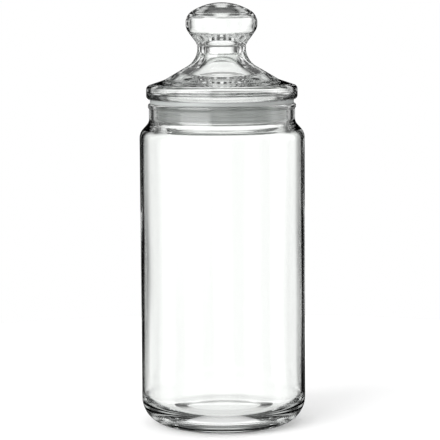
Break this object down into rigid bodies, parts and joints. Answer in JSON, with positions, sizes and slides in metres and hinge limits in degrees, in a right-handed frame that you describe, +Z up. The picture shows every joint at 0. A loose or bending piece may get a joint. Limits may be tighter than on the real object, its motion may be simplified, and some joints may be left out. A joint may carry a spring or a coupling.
{
  "type": "lidded glass canister",
  "caption": "Tall round clear glass storage jar with a lift-off hollow glass lid, ball knob and a soft plastic sealing ring around the lid's plug.",
  "frame": {"origin": "on the axis, at the height of the flat ring that the jar stands on", "axes": "+Z up along the axis of the jar, from the foot to the knob; +X and +Y are free, because every piece is round"},
  "size_m": [0.108, 0.108, 0.2765],
  "materials": {
    "jar_glass": "clear, fire polished",
    "lid_glass": "clear, pressed and fire polished",
    "seal_plastic": "translucent moulded polyethylene"
  },
  "bodies": {
    "jar": {"glass_jar": "jar_glass"},
    "seal": {"seal_ring": "seal_plastic"},
    "lid": {"glass_lid": "lid_glass"}
  },
  "joints": [
    {"name": "lid_lift", "type": "slide", "parent": "jar", "child": "seal", "axis": [0, 0, 1], "range_m": [0, 0.05]},
    {"name": "lid_turn", "type": "hinge", "parent": "seal", "child": "lid", "pos_m": [0, 0, 0.2], "axis": [0, 0, 1], "continuous": true}
  ]
}
